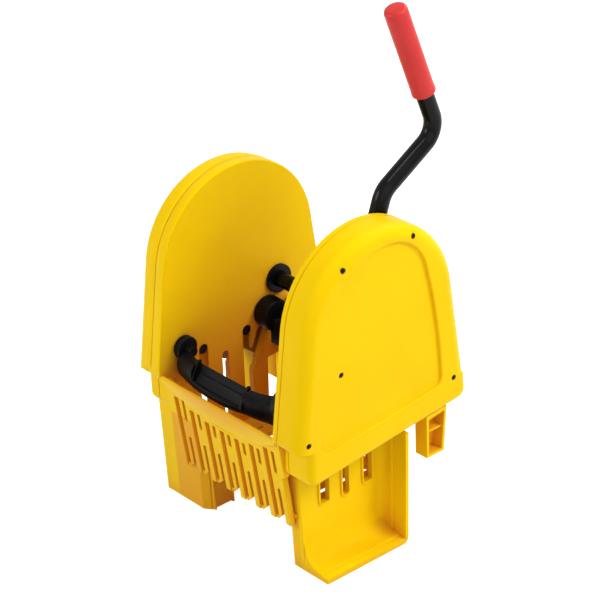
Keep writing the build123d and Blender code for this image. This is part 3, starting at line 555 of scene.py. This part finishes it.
# grip with a cut foot, a soft lip and a flat crown, its line by radius and distance along the axis
gripForm = {
    "x": 92.0, "foot": (128.9, 544.4), "top": (82.1, 668.1), "steps": 56, "merge": 0.01,
    "line": [(11.4, 26.0), (11.4, 6.6), (14.2, 6.2), (14.8, 6.8), (14.85, 10.0), (14.35, 15.0),
             (14.35, 123.6), (14.1, 125.8), (13.2, 127.8), (11.6, 129.1), (9.4, 129.6), (5.0, 129.75),
             (0.0, 129.8)],
}


def buildGrip(look):
    work = bmesh.new()
    foot = Vector((look["x"], *look["foot"]))
    along = (Vector((look["x"], *look["top"])) - foot).normalized()
    verts = [work.verts.new(foot + along * t + Vector((r, 0, 0))) for r, t in look["line"]]
    edges = [work.edges.new(pair) for pair in zip(verts, verts[1:])]
    bmesh.ops.spin(work, geom=verts + edges, cent=foot, axis=along, angle=2 * math.pi, steps=look["steps"],
                   use_merge=True)
    bmesh.ops.remove_doubles(work, verts=work.verts, dist=look["merge"])
    finishPiece("handle_grip_form", work, finishes["red_grip"], "lever", stands="handle_grip")


buildGrip(gripForm)
print("detail pieces ready")

# camera, in metres and degrees
cameraView = {
    "azimuth": 49.79, "elevation": 27.65, "roll": -2.27, "distance": 2.89075, "sensor": 36.0,
    "across": 0.00337, "height": 0.29084, "depth": -0.00784, "focalPixels": 2400.0, "imagePixels": 600.0,
}


def placeCamera(look):
    az, el, roll = (math.radians(look[key]) for key in ("azimuth", "elevation", "roll"))
    ahead = Vector((-math.sin(az) * math.cos(el), math.cos(az) * math.cos(el), -math.sin(el)))
    level = Vector((math.cos(az), math.sin(az), 0.0))
    upright = level.cross(ahead)
    right = level * math.cos(roll) + upright * math.sin(roll)
    up = upright * math.cos(roll) - level * math.sin(roll)
    eye = Vector((0, look["depth"], look["height"])) + right * look["across"] - ahead * look["distance"]
    data = bpy.data.cameras.new("photoCamera")
    data.sensor_width = look["sensor"]
    data.lens = look["focalPixels"] / look["imagePixels"] * look["sensor"]
    camera = bpy.data.objects.new("photoCamera", data)
    turn = Matrix((right, up, -ahead)).transposed().to_4x4()
    camera.matrix_world = Matrix.Translation(eye) @ turn
    bpy.context.collection.objects.link(camera)
    bpy.context.scene.camera = camera


placeCamera(cameraView)

# floor, lamps and world
studio = {
    "floorHalf": 9.0, "floorTone": (0.80, 0.80, 0.80), "floorRough": 0.9, "floorGlow": 0.84, "world": 0.16,
    "aim": (0, 0, 0.28),
}
lamps = {
    "key": {"at": (1.84, -1.07, 1.77), "size": 2.4, "power": 12.0},
    "side": {"at": (2.54, 0.0, 0.95), "size": 1.2, "power": 4.5},
    "left": {"at": (-0.98, -2.12, 1.45), "size": 1.3, "power": 29.0},
    "right": {"at": (1.73, 1.0, 1.95), "size": 1.2, "power": 36.0},
    "back": {"at": (0.0, 1.84, 2.12), "size": 1.4, "power": 26.0},
    "top": {"at": (0.39, -0.23, 2.84), "size": 0.8, "power": 12.0},
}
white = (1.0, 1.0, 1.0, 1.0)


def seenRays(tree):
    path = tree.nodes.new("ShaderNodeLightPath")
    kinds = ("Is Camera Ray", "Is Glossy Ray", "Is Transmission Ray")
    return joinMath(tree, "MAXIMUM", *(path.outputs[kind] for kind in kinds))


def buildFloor(look):
    sheet = bmesh.new()
    bmesh.ops.create_grid(sheet, x_segments=1, y_segments=1, size=look["floorHalf"])
    mesh = bpy.data.meshes.new("floor")
    sheet.to_mesh(mesh)
    sheet.free()
    floor = bpy.data.objects.new("floor", mesh)
    bpy.context.collection.objects.link(floor)
    material, tree, shader = startMaterial("paleFloor")
    shader.inputs["Base Color"].default_value = (*look["floorTone"], 1.0)
    shader.inputs["Roughness"].default_value = look["floorRough"]
    shader.inputs["Specular IOR Level"].default_value = 0.0
    shader.inputs["Emission Color"].default_value = white
    glow = addRange(tree, seenRays(tree), 0.0, look["floorGlow"], 0.0, 1.0)
    tree.links.new(glow, shader.inputs["Emission Strength"])
    mesh.materials.append(material)


def buildLamp(name, look, aim):
    data = bpy.data.lights.new(name, "AREA")
    data.shape = "DISK"
    data.size = look["size"]
    data.energy = look["power"]
    lamp = bpy.data.objects.new(name, data)
    lamp.location = look["at"]
    lamp.rotation_euler = (Vector(aim) - Vector(look["at"])).to_track_quat("-Z", "Y").to_euler()
    bpy.context.collection.objects.link(lamp)


def buildWorld(strength):
    world = bpy.data.worlds.new("studioWorld")
    world.use_nodes = True
    tree = world.node_tree
    back = tree.nodes["Background"]
    back.inputs["Color"].default_value = white
    level = addRange(tree, seenRays(tree), strength, 1.0, 0.0, 1.0)
    tree.links.new(level, back.inputs["Strength"])
    bpy.context.scene.world = world


buildFloor(studio)
for name, look in lamps.items():
    buildLamp(name, look, studio["aim"])
buildWorld(studio["world"])
bpy.context.scene.view_settings.view_transform = "Standard"
print("studio ready")
